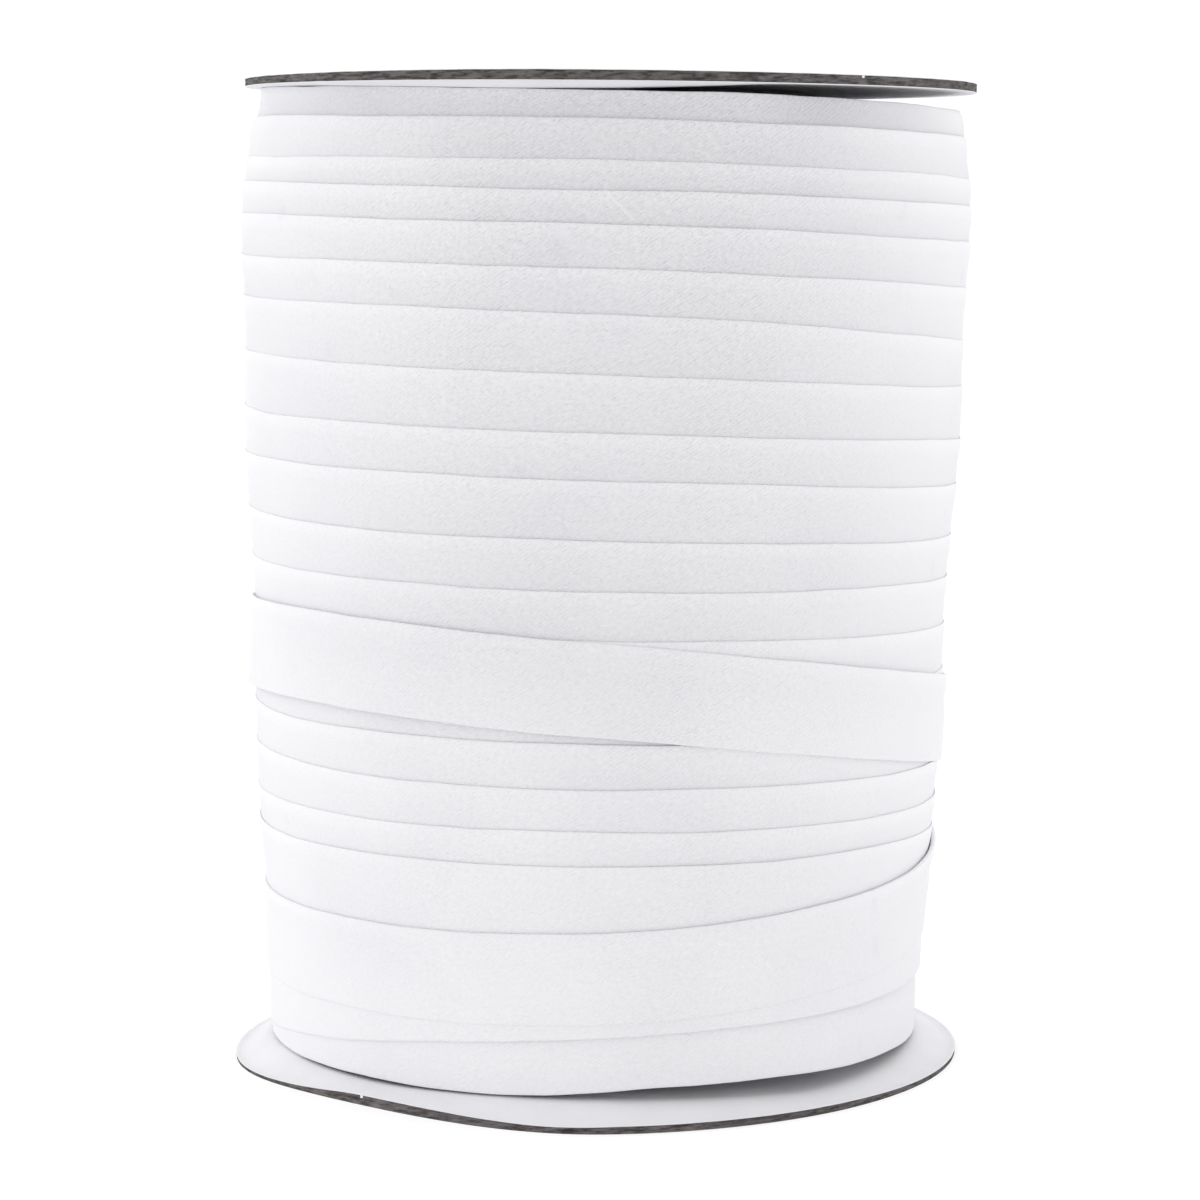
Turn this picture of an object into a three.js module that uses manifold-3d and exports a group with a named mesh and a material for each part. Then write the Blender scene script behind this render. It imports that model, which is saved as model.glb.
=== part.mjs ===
// Roll of bias tape: one length of folded bias tape wound in overlapping turns
// between two thin board discs. Millimetres, +Z up, the front of the roll faces -Y.
// Angles run from the right of the roll (0) by the back (90) and the left (180)
// to the front (270), which is also the way the tape was laid.

import * as THREE from 'three';
import { mergeVertices } from 'three/addons/utils/BufferGeometryUtils.js';
import Module from 'manifold-3d';

// The two discs.
const boardThickness = 1.1;
const lowerDiscRadius = 53;
const upperDiscRadius = 52.5;
const upperDiscHeight = 139.9; // underside at its centre
const upperDiscShift = 3.4; // to the right, because the roll leans
const upperDiscTiltDeg = 1.0; // right side low
const discRings = [18, 30, 37, 43, 48];
const discColumns = 72;

// The lower disc's front left rim has curled up from the table.
const curl = { rise: 2.2, middle: 222, halfSpan: 72, flatRadius: 30, power: 1.6 };

// The tape, folded, and the gap that parts it from each disc.
const tapeWidth = 12.7;
const seatGap = 0.3;
const packColumns = 72;
const seamAngle = 90;
const seatRadius = 28;
const shoulderRadius = 43;
const shoulderRise = 0.3; // of the pack's end, between its edge and its shoulder
const browWidth = 1.2; // level rim just inside the first turn's edge
const lipRoll = 0.15; // how far a turn's edge rolls down over the turn above

// The wound pack leans a little to the right.
const packFoot = -0.3;
const packLean = 3.3 / 135;

// Mean radius of the wound pack at a few heights.
const barrel = [
  { height: 2, radius: 47.2 },
  { height: 12, radius: 47.5 },
  { height: 25, radius: 48.1 },
  { height: 33, radius: 48.9 },
  { height: 42, radius: 49.4 },
  { height: 52, radius: 49.9 },
  { height: 65, radius: 50.0 },
  { height: 75, radius: 50.6 },
  { height: 84, radius: 51.3 },
  { height: 92, radius: 51.7 },
  { height: 106, radius: 51.8 },
  { height: 117, radius: 52.5 },
  { height: 125, radius: 52.4 },
  { height: 130, radius: 51.7 },
  { height: 134, radius: 51.2 },
  { height: 138, radius: 50.0 },
  { height: 142, radius: 49.6 },
];

// One row for each turn, from the top down: the height of its upper edge at the
// left, the front and the right, and how far that edge stands off the turn above.
const turns = [
  { left: 140.0, front: 138.4, right: 136.8, step: 0.5 },
  { left: 136.3, front: 134.7, right: 132.1, step: 0.9 },
  { left: 130.8, front: 129.3, right: 126.4, step: 0.4 },
  { left: 127.2, front: 125.4, right: 122.5, step: 0.6 },
  { left: 122.8, front: 120.9, right: 117.4, step: 0.6 },
  { left: 117.0, front: 115.2, right: 110.8, step: 0.7 },
  { left: 111.0, front: 109.3, right: 103.4, step: 0.6 },
  { left: 103.5, front: 101.1, right: 96.9, step: 0.6 },
  { left: 95.4, front: 93.6, right: 89.3, step: 0.7 },
  { left: 88.8, front: 87.3, right: 82.8, step: 0.7 },
  { left: 81.1, front: 79.1, right: 75.6, step: 0.7 },
  { left: 74.1, front: 72.4, right: 69.6, step: 0.6 },
  { left: 67.4, front: 65.8, right: 62.8, step: 0.6 },
  { left: 60.6, front: 58.8, right: 56.2, step: 0.6 },
  { left: 53.2, front: 51.8, right: 49.4, step: 0.6 },
  { left: 47.0, front: 45.7, right: 43.2, step: 0.7 },
  { left: 40.4, front: 39.9, right: 37.7, step: 0.6 },
  { left: 35.6, front: 35.1, right: 33.2, step: 0.6 },
  { left: 28.5, front: 27.6, right: 26.0, step: 0.5 },
  { left: 22.0, front: 21.5, right: 20.5, step: 0.4 },
];
const firstEdgeAtBack = 139.2;

// Lower edge of the lowest turn, which rests near the disc.
const packFootEdge = { left: 3.7, front: 4.3, right: 2.9, back: 3.2 };

// The last turns lie over the pack as bands of full width. Each row says how far
// round the band is, the height of its lower edge, and how far each of its edges
// stands off the pack. The first band climbs from the foot of the roll.
const footBand = [
  { at: 92.5, lower: 3.6, lowerLift: 0.3, upperLift: 0.2 },
  { at: 180, lower: 4.9, lowerLift: 0.4, upperLift: 0.3 },
  { at: 215, lower: 7.4, lowerLift: 0.4, upperLift: 0.3 },
  { at: 245, lower: 10.1, lowerLift: 0.4, upperLift: 0.3 },
  { at: 275, lower: 11.4, lowerLift: 0.4, upperLift: 0.3 },
  { at: 330, lower: 12.0, lowerLift: 0.4, upperLift: 0.3 },
  { at: 437.5, lower: 12.6, lowerLift: 0.4, upperLift: 0.3 },
];

// The second goes once round, then up across the back, and crosses the front.
const crossingBand = [
  { at: 412.5, lower: 12.3, lowerLift: 0.5, upperLift: 0.5 },
  { at: 450, lower: 12.5, lowerLift: 0.6, upperLift: 0.6 },
  { at: 540, lower: 12.8, lowerLift: 0.9, upperLift: 1.2 },
  { at: 590, lower: 12.6, lowerLift: 0.9, upperLift: 1.1 },
  { at: 635, lower: 12.8, lowerLift: 0.9, upperLift: 1.2 },
  { at: 675, lower: 14.4, lowerLift: 0.9, upperLift: 1.5 },
  { at: 705, lower: 16.0, lowerLift: 0.8, upperLift: 2.1 },
  { at: 730, lower: 19.2, lowerLift: 0.7, upperLift: 1.9 },
  { at: 765, lower: 26.2, lowerLift: 0.7, upperLift: 0.9 },
  { at: 810, lower: 36.8, lowerLift: 0.7, upperLift: 0.7 },
  { at: 855, lower: 47.4, lowerLift: 0.8, upperLift: 0.7 },
  { at: 885, lower: 53.2, lowerLift: 1.0, upperLift: 0.8 },
  { at: 915, lower: 55.3, lowerLift: 1.0, upperLift: 0.9 },
  { at: 945, lower: 55.3, lowerLift: 1.0, upperLift: 0.8 },
  { at: 990, lower: 52.9, lowerLift: 0.9, upperLift: 0.7 },
  { at: 1020, lower: 49.6, lowerLift: 0.8, upperLift: 0.7 },
  { at: 1050, lower: 45.3, lowerLift: 0.7, upperLift: 0.8 },
  { at: 1080, lower: 41.9, lowerLift: 0.7, upperLift: 0.8 },
  { at: 1122.5, lower: 38.7, lowerLift: 0.6, upperLift: 0.7 },
];
const bandStep = 5; // halfway between the columns of the pack
const buriedDepth = 1.6; // how far a band's inner side lies inside the pack

// Across a band, from its lower edge (0) to its upper edge (1): the folded edges
// leave a shallow trough in the face.
const bandFace = [
  { across: 0, rise: -0.12 },
  { across: 0.08, rise: 0.08 },
  { across: 0.4, rise: 0.05 },
  { across: 0.7, rise: -0.2 },
  { across: 0.93, rise: 0.06 },
  { across: 1, rise: -0.12 },
];

const radians = THREE.MathUtils.degToRad;

function circleAround(value) {
  return ((value % 360) + 360) % 360;
}

// A smooth height through knots, which are [place, value] pairs in rising order.
function throughKnots(knots, place) {
  const last = knots.length - 1;
  if (place <= knots[0][0]) return knots[0][1];
  if (place >= knots[last][0]) return knots[last][1];
  let k = 0;
  while (knots[k + 1][0] < place) k += 1;
  const slopeAt = (i) => {
    const before = knots[Math.max(i - 1, 0)];
    const after = knots[Math.min(i + 1, last)];
    return (after[1] - before[1]) / (after[0] - before[0]);
  };
  const [x0, y0] = knots[k];
  const [x1, y1] = knots[k + 1];
  const span = x1 - x0;
  const t = (place - x0) / span;
  const t2 = t * t;
  const t3 = t2 * t;
  return (
    (2 * t3 - 3 * t2 + 1) * y0 +
    (t3 - 2 * t2 + t) * span * slopeAt(k) +
    (3 * t2 - 2 * t3) * y1 +
    (t3 - t2) * span * slopeAt(k + 1)
  );
}

const barrelKnots = barrel.map(({ height, radius }) => [height, radius]);
const barrelRadius = (height) => throughKnots(barrelKnots, height);
const packCentre = (height) => packFoot + packLean * height;

function packPoint(angle, radius, height) {
  const a = radians(angle);
  return [packCentre(height) + radius * Math.cos(a), radius * Math.sin(a), height];
}

// The upper edges of the turns, as one helix from the first turn to the last.
const turnKnots = [[seamAngle, firstEdgeAtBack]];
const stepKnots = [[seamAngle, turns[0].step]];
turns.forEach(({ left, front, right, step }, k) => {
  turnKnots.push([360 * k + 180, left], [360 * k + 270, front], [360 * k + 360, right]);
  stepKnots.push([360 * k + 270, step]);
});
const edgeHeight = (place) => throughKnots(turnKnots, place);
const edgeStep = (place) => throughKnots(stepKnots, place);

const footKnots = [
  [0, packFootEdge.right],
  [90, packFootEdge.back],
  [180, packFootEdge.left],
  [270, packFootEdge.front],
  [360, packFootEdge.right],
];
const footHeight = (angle) => throughKnots(footKnots, circleAround(angle));

// Underside of the upper disc above a point of the roll.
function discUnderside(x) {
  return upperDiscHeight - Math.tan(radians(upperDiscTiltDeg)) * (x - upperDiscShift);
}

// A closed mesh that grows point by point and face by face.
class Shell {
  constructor() {
    this.points = [];
    this.faces = [];
  }

  add(point) {
    this.points.push(...point);
    return this.points.length / 3 - 1;
  }

  triangle(a, b, c) {
    this.faces.push(a, b, c);
  }

  quad(a, b, c, d) {
    this.triangle(a, b, c);
    this.triangle(a, c, d);
  }

  // Joins a ring to the next ring on its outer or lower side.
  band(upper, lower) {
    for (let i = 0; i + 1 < upper.length; i += 1) {
      this.quad(upper[i], lower[i], lower[i + 1], upper[i + 1]);
    }
  }

  fan(centre, ring) {
    for (let i = 0; i + 1 < ring.length; i += 1) {
      this.triangle(centre, ring[i], ring[i + 1]);
    }
  }

  geometry() {
    const geometry = new THREE.BufferGeometry();
    geometry.setAttribute('position', new THREE.Float32BufferAttribute(this.points, 3));
    geometry.setIndex(this.faces);
    return geometry;
  }
}

function closedRing(shell, columns, pointAt) {
  const ring = [];
  for (let i = 0; i < columns; i += 1) {
    ring.push(shell.add(pointAt((360 * i) / columns)));
  }
  ring.push(ring[0]);
  return ring;
}

// A disc of board. surfaceAt gives its underside at an angle and a radius.
function discGeometry(radius, surfaceAt) {
  const shell = new Shell();
  const rings = [...discRings, radius];
  const face = (thickness) => {
    const place = (r) => (angle) => {
      const a = radians(angle);
      return [r * Math.cos(a), r * Math.sin(a), surfaceAt(angle, r) + thickness];
    };
    const centre = shell.add([0, 0, surfaceAt(0, 0) + thickness]);
    return { centre, rings: rings.map((r) => closedRing(shell, discColumns, place(r))) };
  };
  const top = face(boardThickness);
  const bottom = face(0);
  shell.fan(top.centre, top.rings[0]);
  shell.fan(bottom.centre, [...bottom.rings[0]].reverse());
  for (let i = 0; i + 1 < rings.length; i += 1) {
    shell.band(top.rings[i], top.rings[i + 1]);
    shell.band(bottom.rings[i + 1], bottom.rings[i]);
  }
  shell.band(top.rings.at(-1), bottom.rings.at(-1));
  return shell.geometry();
}

function curlRise(angle, radius) {
  const turn = Math.abs(angle - curl.middle) / curl.halfSpan;
  if (turn >= 1 || radius <= curl.flatRadius) return 0;
  const round = Math.cos((turn * Math.PI) / 2) ** 2;
  const out = (radius - curl.flatRadius) / (lowerDiscRadius - curl.flatRadius);
  return curl.rise * round * out ** curl.power;
}

// The pack: a spiral of shingled turns, closed by a ring and a seat at each end.
function packGeometry() {
  const shell = new Shell();
  const angles = [];
  for (let i = 0; i < packColumns; i += 1) {
    angles.push(seamAngle + (360 * i) / packColumns);
  }
  const ringOf = (pointAt) => {
    const ring = angles.map((angle) => shell.add(pointAt(angle)));
    return [...ring, ring[0]];
  };
  const edge = (place, side) => {
    const height = edgeHeight(place);
    const radius = barrelRadius(height) + (side * edgeStep(place)) / 2;
    return packPoint(place, radius, height - side * lipRoll);
  };
  const rowCount = turns.length;
  const edgeRow = (k, side) => angles.map((angle) => shell.add(edge(angle + 360 * k, side)));
  const lips = turns.map((turn, k) => edgeRow(k, 1));
  const feet = turns.map((turn, k) => (k > 0 ? edgeRow(k, -1) : []));
  const end = seamAngle + 360 * rowCount;
  const lastFoot = shell.add(edge(end, -1));
  const lastLip = shell.add(edge(end, 1));
  const spiral = (rows, k, endPoint) => [...rows[k], k + 1 < rowCount ? rows[k + 1][0] : endPoint];
  const foot = (k) => spiral(feet, k, lastFoot);
  const lip = (k) => spiral(lips, k, lastLip);

  // Upper end: a seat under the disc, a shoulder and the first turn's edge.
  const seatTop = ringOf((angle) => {
    const [x, y] = packPoint(angle, seatRadius, upperDiscHeight);
    return [x, y, discUnderside(x) - seatGap];
  });
  const shoulderTop = ringOf((angle) => {
    const height = edgeHeight(angle);
    const [x, y] = packPoint(angle, shoulderRadius, height);
    return [x, y, Math.min(height + shoulderRise, discUnderside(x) - seatGap)];
  });
  const brow = ringOf((angle) => {
    const height = edgeHeight(angle);
    return packPoint(angle, barrelRadius(height) - browWidth, height);
  });
  const middle = packCentre(upperDiscHeight);
  const crown = shell.add([middle, 0, discUnderside(middle) - seatGap]);
  shell.fan(crown, seatTop);
  shell.band(seatTop, shoulderTop);
  shell.band(shoulderTop, brow);
  shell.band(brow, lip(0));
  shell.quad(lips[1][0], feet[1][0], lips[0][0], brow[0]);

  for (let k = 0; k + 1 < rowCount; k += 1) {
    shell.band(lip(k), foot(k + 1));
    shell.band(foot(k + 1), lip(k + 1));
  }

  // Lower end: the last turn's lower edge, and a seat on the disc.
  const lastEdge = ringOf((angle) => {
    const height = footHeight(angle);
    return packPoint(angle, barrelRadius(height), height);
  });
  const shoulderFoot = ringOf((angle) => {
    const height = footHeight(angle);
    return packPoint(angle, shoulderRadius, height - shoulderRise);
  });
  const seatHeight = boardThickness + seatGap;
  const seatFoot = ringOf((angle) => packPoint(angle, seatRadius, seatHeight));
  const base = shell.add([packFoot, 0, seatHeight]);
  const final = rowCount - 1;
  shell.quad(lastEdge[0], lips[final][0], lastFoot, lastLip);
  shell.band(lip(final), lastEdge);
  shell.band(lastEdge, shoulderFoot);
  shell.band(shoulderFoot, seatFoot);
  shell.fan(base, [...seatFoot].reverse());
  return shell.geometry();
}

// A band, as one closed strip along its rows.
function bandGeometry(rows) {
  const shell = new Shell();
  const column = (name) => rows.map((row) => [row.at, row[name]]);
  const lowerKnots = column('lower');
  const lowLiftKnots = column('lowerLift');
  const highLiftKnots = column('upperLift');
  const from = rows[0].at;
  const length = rows.at(-1).at - from;
  const count = Math.round(length / bandStep);
  const sections = [];
  for (let i = 0; i <= count; i += 1) {
    const place = from + (length * i) / count;
    const lower = throughKnots(lowerKnots, place);
    const lowLift = throughKnots(lowLiftKnots, place);
    const highLift = throughKnots(highLiftKnots, place);
    const outside = bandFace.map(({ across, rise }) => {
      const height = lower + tapeWidth * across;
      const lift = THREE.MathUtils.lerp(lowLift, highLift, across) + rise;
      return shell.add(packPoint(place, barrelRadius(height) + lift, height));
    });
    const inside = [tapeWidth, 0].map((up) => {
      const height = lower + up;
      return shell.add(packPoint(place, barrelRadius(height) - buriedDepth, height));
    });
    sections.push([...outside, ...inside]);
  }
  const corners = sections[0].length;
  for (let i = 0; i < count; i += 1) {
    for (let j = 0; j < corners; j += 1) {
      const next = (j + 1) % corners;
      const near = sections[i];
      const far = sections[i + 1];
      shell.quad(near[j], far[j], far[next], near[next]);
    }
  }
  const first = sections[0];
  const last = sections[count];
  for (let j = 1; j + 1 < corners; j += 1) {
    shell.triangle(first[0], first[j], first[j + 1]);
    shell.triangle(last[0], last[j + 1], last[j]);
  }
  return shell.geometry();
}

const mergeDistance = 1e-5;

const wasm = await Module();
wasm.setup();

function solidOf(geometry) {
  const merged = mergeVertices(geometry, mergeDistance);
  const mesh = new wasm.Mesh({
    numProp: 3,
    vertProperties: new Float32Array(merged.attributes.position.array),
    triVerts: new Uint32Array(merged.index.array),
  });
  return new wasm.Manifold(mesh);
}

function geometryOf(solid) {
  const mesh = solid.getMesh();
  const geometry = new THREE.BufferGeometry();
  geometry.setAttribute('position', new THREE.BufferAttribute(mesh.vertProperties, 3));
  geometry.setIndex(new THREE.BufferAttribute(mesh.triVerts, 1));
  return geometry;
}

function woundTapeGeometry() {
  const pack = solidOf(packGeometry());
  const foot = solidOf(bandGeometry(footBand));
  const crossing = solidOf(bandGeometry(crossingBand));
  return geometryOf(pack.add(foot).add(crossing));
}

const board = new THREE.MeshStandardMaterial({ color: 0xd9d7d1, roughness: 0.85 });
const cotton = new THREE.MeshStandardMaterial({ color: 0xeceded, roughness: 0.95 });

const lowerDisc = new THREE.Mesh(discGeometry(lowerDiscRadius, curlRise), board);
lowerDisc.name = 'spool_disc_lower';

const upperDisc = new THREE.Mesh(discGeometry(upperDiscRadius, () => 0), board);
upperDisc.name = 'spool_disc_upper';
upperDisc.position.set(upperDiscShift, 0, upperDiscHeight);
upperDisc.rotation.y = radians(upperDiscTiltDeg);

const woundTape = new THREE.Mesh(woundTapeGeometry(), cotton);
woundTape.name = 'wound_bias_tape';

const roll = new THREE.Group();
roll.add(lowerDisc, upperDisc, woundTape);

export default roll;
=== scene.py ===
import math

import bpy
import numpy as np
from mathutils import Matrix, Vector


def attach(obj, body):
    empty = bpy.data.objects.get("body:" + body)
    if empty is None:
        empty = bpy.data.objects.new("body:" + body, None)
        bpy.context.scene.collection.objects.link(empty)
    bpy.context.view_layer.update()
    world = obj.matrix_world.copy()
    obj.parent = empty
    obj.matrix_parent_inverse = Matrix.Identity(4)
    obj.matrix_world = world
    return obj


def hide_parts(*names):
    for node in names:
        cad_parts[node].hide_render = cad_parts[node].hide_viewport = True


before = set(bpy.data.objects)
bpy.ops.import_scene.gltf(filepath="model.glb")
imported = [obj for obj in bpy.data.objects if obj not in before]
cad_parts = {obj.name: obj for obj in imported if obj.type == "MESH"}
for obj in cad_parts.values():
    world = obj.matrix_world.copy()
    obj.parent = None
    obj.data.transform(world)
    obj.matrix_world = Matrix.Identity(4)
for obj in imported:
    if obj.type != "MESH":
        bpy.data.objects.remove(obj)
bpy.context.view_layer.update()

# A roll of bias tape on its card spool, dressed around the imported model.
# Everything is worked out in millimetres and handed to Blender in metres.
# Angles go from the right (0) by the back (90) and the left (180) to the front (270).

mm = 0.001
body = "root"

cameraSetup = {
    "place": (1.2, -542.0, 126.2),
    "pitchDown": 6.3,
    "rollClockwise": 0.5,
    "lens": 111.8,
    "sensor": 36.0,
    "clip": (0.01, 20),
}


def placeCamera():
    data = bpy.data.cameras.new("photoCamera")
    data.lens = cameraSetup["lens"]
    data.sensor_width = cameraSetup["sensor"]
    data.clip_start, data.clip_end = cameraSetup["clip"]
    camera = bpy.data.objects.new("photoCamera", data)
    bpy.context.scene.collection.objects.link(camera)
    tilt = Matrix.Rotation(math.radians(90 - cameraSetup["pitchDown"]), 4, "X")
    roll = Matrix.Rotation(math.radians(-cameraSetup["rollClockwise"]), 4, "Z")
    move = Matrix.Translation([c * mm for c in cameraSetup["place"]])
    camera.matrix_world = move @ tilt @ roll
    bpy.context.scene.camera = camera


placeCamera()
print("camera placed")


# Small helpers for shapes

def throughKnots(knots, places):
    # smooth curve through (place, value) pairs, as in the solids
    x, y = np.array(knots, float).T
    slope = np.empty_like(y)
    slope[1:-1] = (y[2:] - y[:-2]) / (x[2:] - x[:-2])
    slope[0] = (y[1] - y[0]) / (x[1] - x[0])
    slope[-1] = (y[-1] - y[-2]) / (x[-1] - x[-2])
    p = np.clip(places, x[0], x[-1])
    k = np.clip(np.searchsorted(x, p, side="right") - 1, 0, len(x) - 2)
    span = x[k + 1] - x[k]
    t = (p - x[k]) / span
    t2 = t * t
    t3 = t2 * t
    start = (2 * t3 - 3 * t2 + 1) * y[k] + (t3 - 2 * t2 + t) * span * slope[k]
    return start + (3 * t2 - 2 * t3) * y[k + 1] + (t3 - t2) * span * slope[k + 1]


# how far and how fast each wave of an unevenness is bent
waveBend = {"amount": 0.8, "rate": 0.37, "fullTurn": 6.28}


def wander(places, amplitude, periods, seed):
    # an even, repeatable unevenness: a few bent waves of the periods given, in degrees
    draw = np.random.default_rng(seed)
    total = np.zeros_like(places, float)
    for period in periods:
        turn = 2 * np.pi * (places / period + draw.random())
        bend = np.sin(turn * waveBend["rate"] + waveBend["fullTurn"] * draw.random())
        total += np.sin(turn + waveBend["amount"] * bend)
    return amplitude * total / math.sqrt(len(periods))


def smoothStep(low, high, value):
    t = np.clip((value - low) / (high - low), 0, 1)
    return t * t * (3 - 2 * t)


def meshObject(name, points, faces, smooth=True):
    mesh = bpy.data.meshes.new(name)
    mesh.from_pydata((points * mm).tolist(), [], faces)
    mesh.polygons.foreach_set("use_smooth", [smooth] * len(mesh.polygons))
    mesh.update()
    piece = bpy.data.objects.new(name, mesh)
    bpy.context.scene.collection.objects.link(piece)
    return piece


def gridFaces(rings, columns):
    # quads between closed rings of points, ring by ring
    r, c = np.meshgrid(np.arange(rings - 1), np.arange(columns), indexing="ij")
    n = (c + 1) % columns
    here = r * columns
    below = here + columns
    return np.stack([here + c, below + c, below + n, here + n], -1).reshape(-1, 4)


# The wound pack: its barrel, and the way that the tape takes round it

pack = {
    "footX": -0.4,       # its axis at the foot, and how far it leans for each mm up
    "lean": 3.3 / 135,
    "rise": 0.6,         # how far the disc's raised middle lifts the pack
    # height: mean radius
    "barrel": [
        (2, 47.3), (12, 47.6), (25, 48.3), (33, 49.2), (42, 49.7), (52, 50.1), (65, 50.2),
        (75, 50.8), (84, 51.5), (92, 51.9), (106, 51.9), (117, 52.5), (125, 52.4),
        (130, 51.7), (134, 51.2), (138, 50.0), (142, 49.6),
    ],
}

tape = {
    "width": 12.7,
    "stepDegrees": 2.5,      # between two sections along the tape
    "edgeRound": 0.22,
    # where the face and the back have a row of points, from the upper edge
    "faceRows": (0.6, 1.5, 2.5, 3.2, 3.9, 4.6, 5.3, 6.4, 8.0, 9.8, 11.3, 12.1),
    "backRows": (8.5, 4.2),
    "edgeTurns": (45, 90, 135),     # degrees round a folded edge
    # the dip where the flap inside ends
    "trough": {"at": 3.9, "half": 1.2, "onTurns": 0.08, "onBands": 0.20},
    "layers": 0.42,          # thickness of a band's folded layers
    "looseFrom": 0.5,        # a lift above this shows as looser, thicker layers
    "looseness": 0.7,
    "leastThickness": 0.2,
    "turnGap": 0.03,         # between a turn's back and the turn under it
    "leastPitch": 0.5,
    "droop": 1.5,            # how late in its shown part a turn sinks under the next
    "bandsGrow": (-250, -200),      # places where turns give way to bands
    "foldSide": 0.4,         # length of cloth round a folded edge
    "shownLimit": 1.5,
    "endStep": 0.5,          # step at the tape's two ends
    # unevenness: amplitude, periods in degrees, seed
    "edgeWander": (0.09, (47, 83, 139, 211), 11),
    "edgeRipple": (0.03, (11, 17, 29), 12),
    "stepWander": (0.05, (37, 61, 97, 151), 13),
    "troughWander": (0.03, (61, 107, 173), 14),
    # angle: the share of each step that the turns keep once they are pressed flat
    "pressed": [
        (0, 0.34), (60, 0.42), (120, 0.42), (165, 0.28), (185, 0.22), (200, 0.24), (225, 0.36),
        (260, 0.42), (320, 0.42), (345, 0.32), (360, 0.34),
    ],
    # upper edge of each turn at the left, front and right, and its step before pressing
    "turns": [
        (140.3, 138.45, 135.9, 0.60),
        (136.3, 134.7, 132.1, 0.90),
        (130.8, 129.3, 126.4, 0.50),
        (127.2, 125.4, 122.5, 0.60),
        (122.8, 120.9, 117.4, 0.60),
        (117.0, 115.2, 110.8, 0.70),
        (111.0, 109.3, 103.4, 0.62),
        (103.5, 101.1, 96.9, 0.60),
        (95.4, 93.6, 89.3, 0.68),
        (88.8, 87.3, 82.8, 0.68),
        (81.1, 79.1, 75.6, 0.68),
        (74.1, 72.4, 69.6, 0.62),
        (67.4, 65.8, 62.8, 0.60),
        (60.6, 58.8, 56.2, 0.60),
        (53.2, 51.8, 49.4, 0.60),
        (47.0, 45.7, 43.2, 0.70),
        (40.4, 39.9, 37.7, 0.60),
        (35.6, 35.1, 33.2, 0.60),
        (24.4, 24.0, 23.2, 0.50),
        (19.4, 19.0, 18.2, 0.50),
    ],
    "startAt": -250,
    # the hidden turn that the first one covers
    "underFirst": [(-250, 139.0), (-180, 139.6), (-90, 138.0), (0, 136.2), (90, 138.85)],
}

# The bands that show their full width: place along the last turns, height of the
# lower edge, and how far the lower and upper edges stand off the barrel
lastBands = [
    (0, 2.7, 0.00, -0.15),
    (90, 3.1, 0.05, -0.10),
    (180, 4.9, 0.30, 0.18),
    (215, 7.4, 0.36, 0.05),
    (245, 10.1, 0.40, -0.05),
    (275, 11.4, 0.40, -0.05),
    (330, 12.0, 0.40, 0.00),
    (450, 12.5, 0.46, 0.32),
    (540, 13.1, 0.54, 0.34),
    (590, 13.1, 0.58, 0.38),
    (635, 13.35, 0.58, 0.42),
    (675, 15.1, 0.58, 0.60),
    (705, 17.1, 0.56, 0.88),
    (730, 19.9, 0.54, 0.86),
    (765, 26.2, 0.54, 0.60),
    (810, 36.8, 0.54, 0.50),
    (855, 47.4, 0.58, 0.46),
    (885, 53.2, 0.95, 0.55),
    (915, 55.3, 1.08, 0.62),
    (945, 55.3, 1.05, 0.56),
    (990, 52.9, 0.90, 0.50),
    (1020, 49.6, 0.72, 0.52),
    (1050, 45.3, 0.60, 0.64),
    (1080, 41.9, 0.60, 0.66),
    (1122, 38.7, 0.58, 0.62),
]
# the turn before them, at the foot: place and height of the lower edge
lowestTurn = [
    (-180, 3.5), (-134, 3.35), (-114, 3.2), (-98, 3.4), (-90, 3.75), (-83, 4.1),
    (-70, 4.2), (-55, 3.95), (-40, 3.3),
]

lowerLift, upperLift = 2, 3         # where lastBands holds them
bandsStart = 360 * (len(tape["turns"]) + 1)  # where the last bands' own places begin


def barrelRadius(height):
    return throughKnots(pack["barrel"], height)


def packCentre(height):
    return pack["footX"] + pack["lean"] * height


def aroundPack(angle, radius, height):
    a = np.radians(angle)
    x = packCentre(height) + radius * np.cos(a)
    return np.stack([x, radius * np.sin(a), height + pack["rise"]], -1)


def edgeKnots():
    heights = list(tape["underFirst"])
    steps = [(tape["startAt"], tape["endStep"])]
    for k, (left, front, right, step) in enumerate(tape["turns"]):
        heights += [(360 * k + 180, left), (360 * k + 270, front), (360 * k + 360, right)]
        steps.append((360 * k + 270, step))
    width = tape["width"]
    for at, lower in lowestTurn:
        heights.append((bandsStart + at, lower + width))
    for at, lower, _, _ in lastBands:
        heights.append((bandsStart + at, lower + width))
    steps.append((bandsStart + lastBands[-1][0], tape["endStep"]))
    return heights, steps


heightKnots, stepKnots = edgeKnots()


def upperEdge(place):
    uneven = wander(place, *tape["edgeWander"]) + wander(place, *tape["edgeRipple"])
    return throughKnots(heightKnots, place) + uneven


def edgeStep(place):
    return throughKnots(stepKnots, place) + wander(place, *tape["stepWander"])


def turnPitch(place):
    # how far the next turn's upper edge lies below this one's
    return upperEdge(place) - upperEdge(place + 360)


def shownShare(place, across):
    # 0 at a turn's upper edge, 1 where the next turn's edge covers it
    return across / np.maximum(turnPitch(place), tape["leastPitch"])


def pressedStep(place):
    return edgeStep(place) * throughKnots(tape["pressed"], np.mod(place, 360))


def shingledFace(place, across, depth=4):
    # how far a turn's face stands off the barrel: the part that the next turn
    # covers lies under it, and so on down
    pitch = turnPitch(place)
    step = pressedStep(place)
    stepBelow = pressedStep(place + 360)
    shown = np.clip(shownShare(place, across), 0, 1)
    face = step / 2 - shown ** tape["droop"] * (step + stepBelow) / 2
    if depth == 0:
        return face
    covered = shingledFace(place + 360, np.maximum(across - pitch, 0), depth - 1) - stepBelow
    return np.where(across <= pitch, face, covered)


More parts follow.
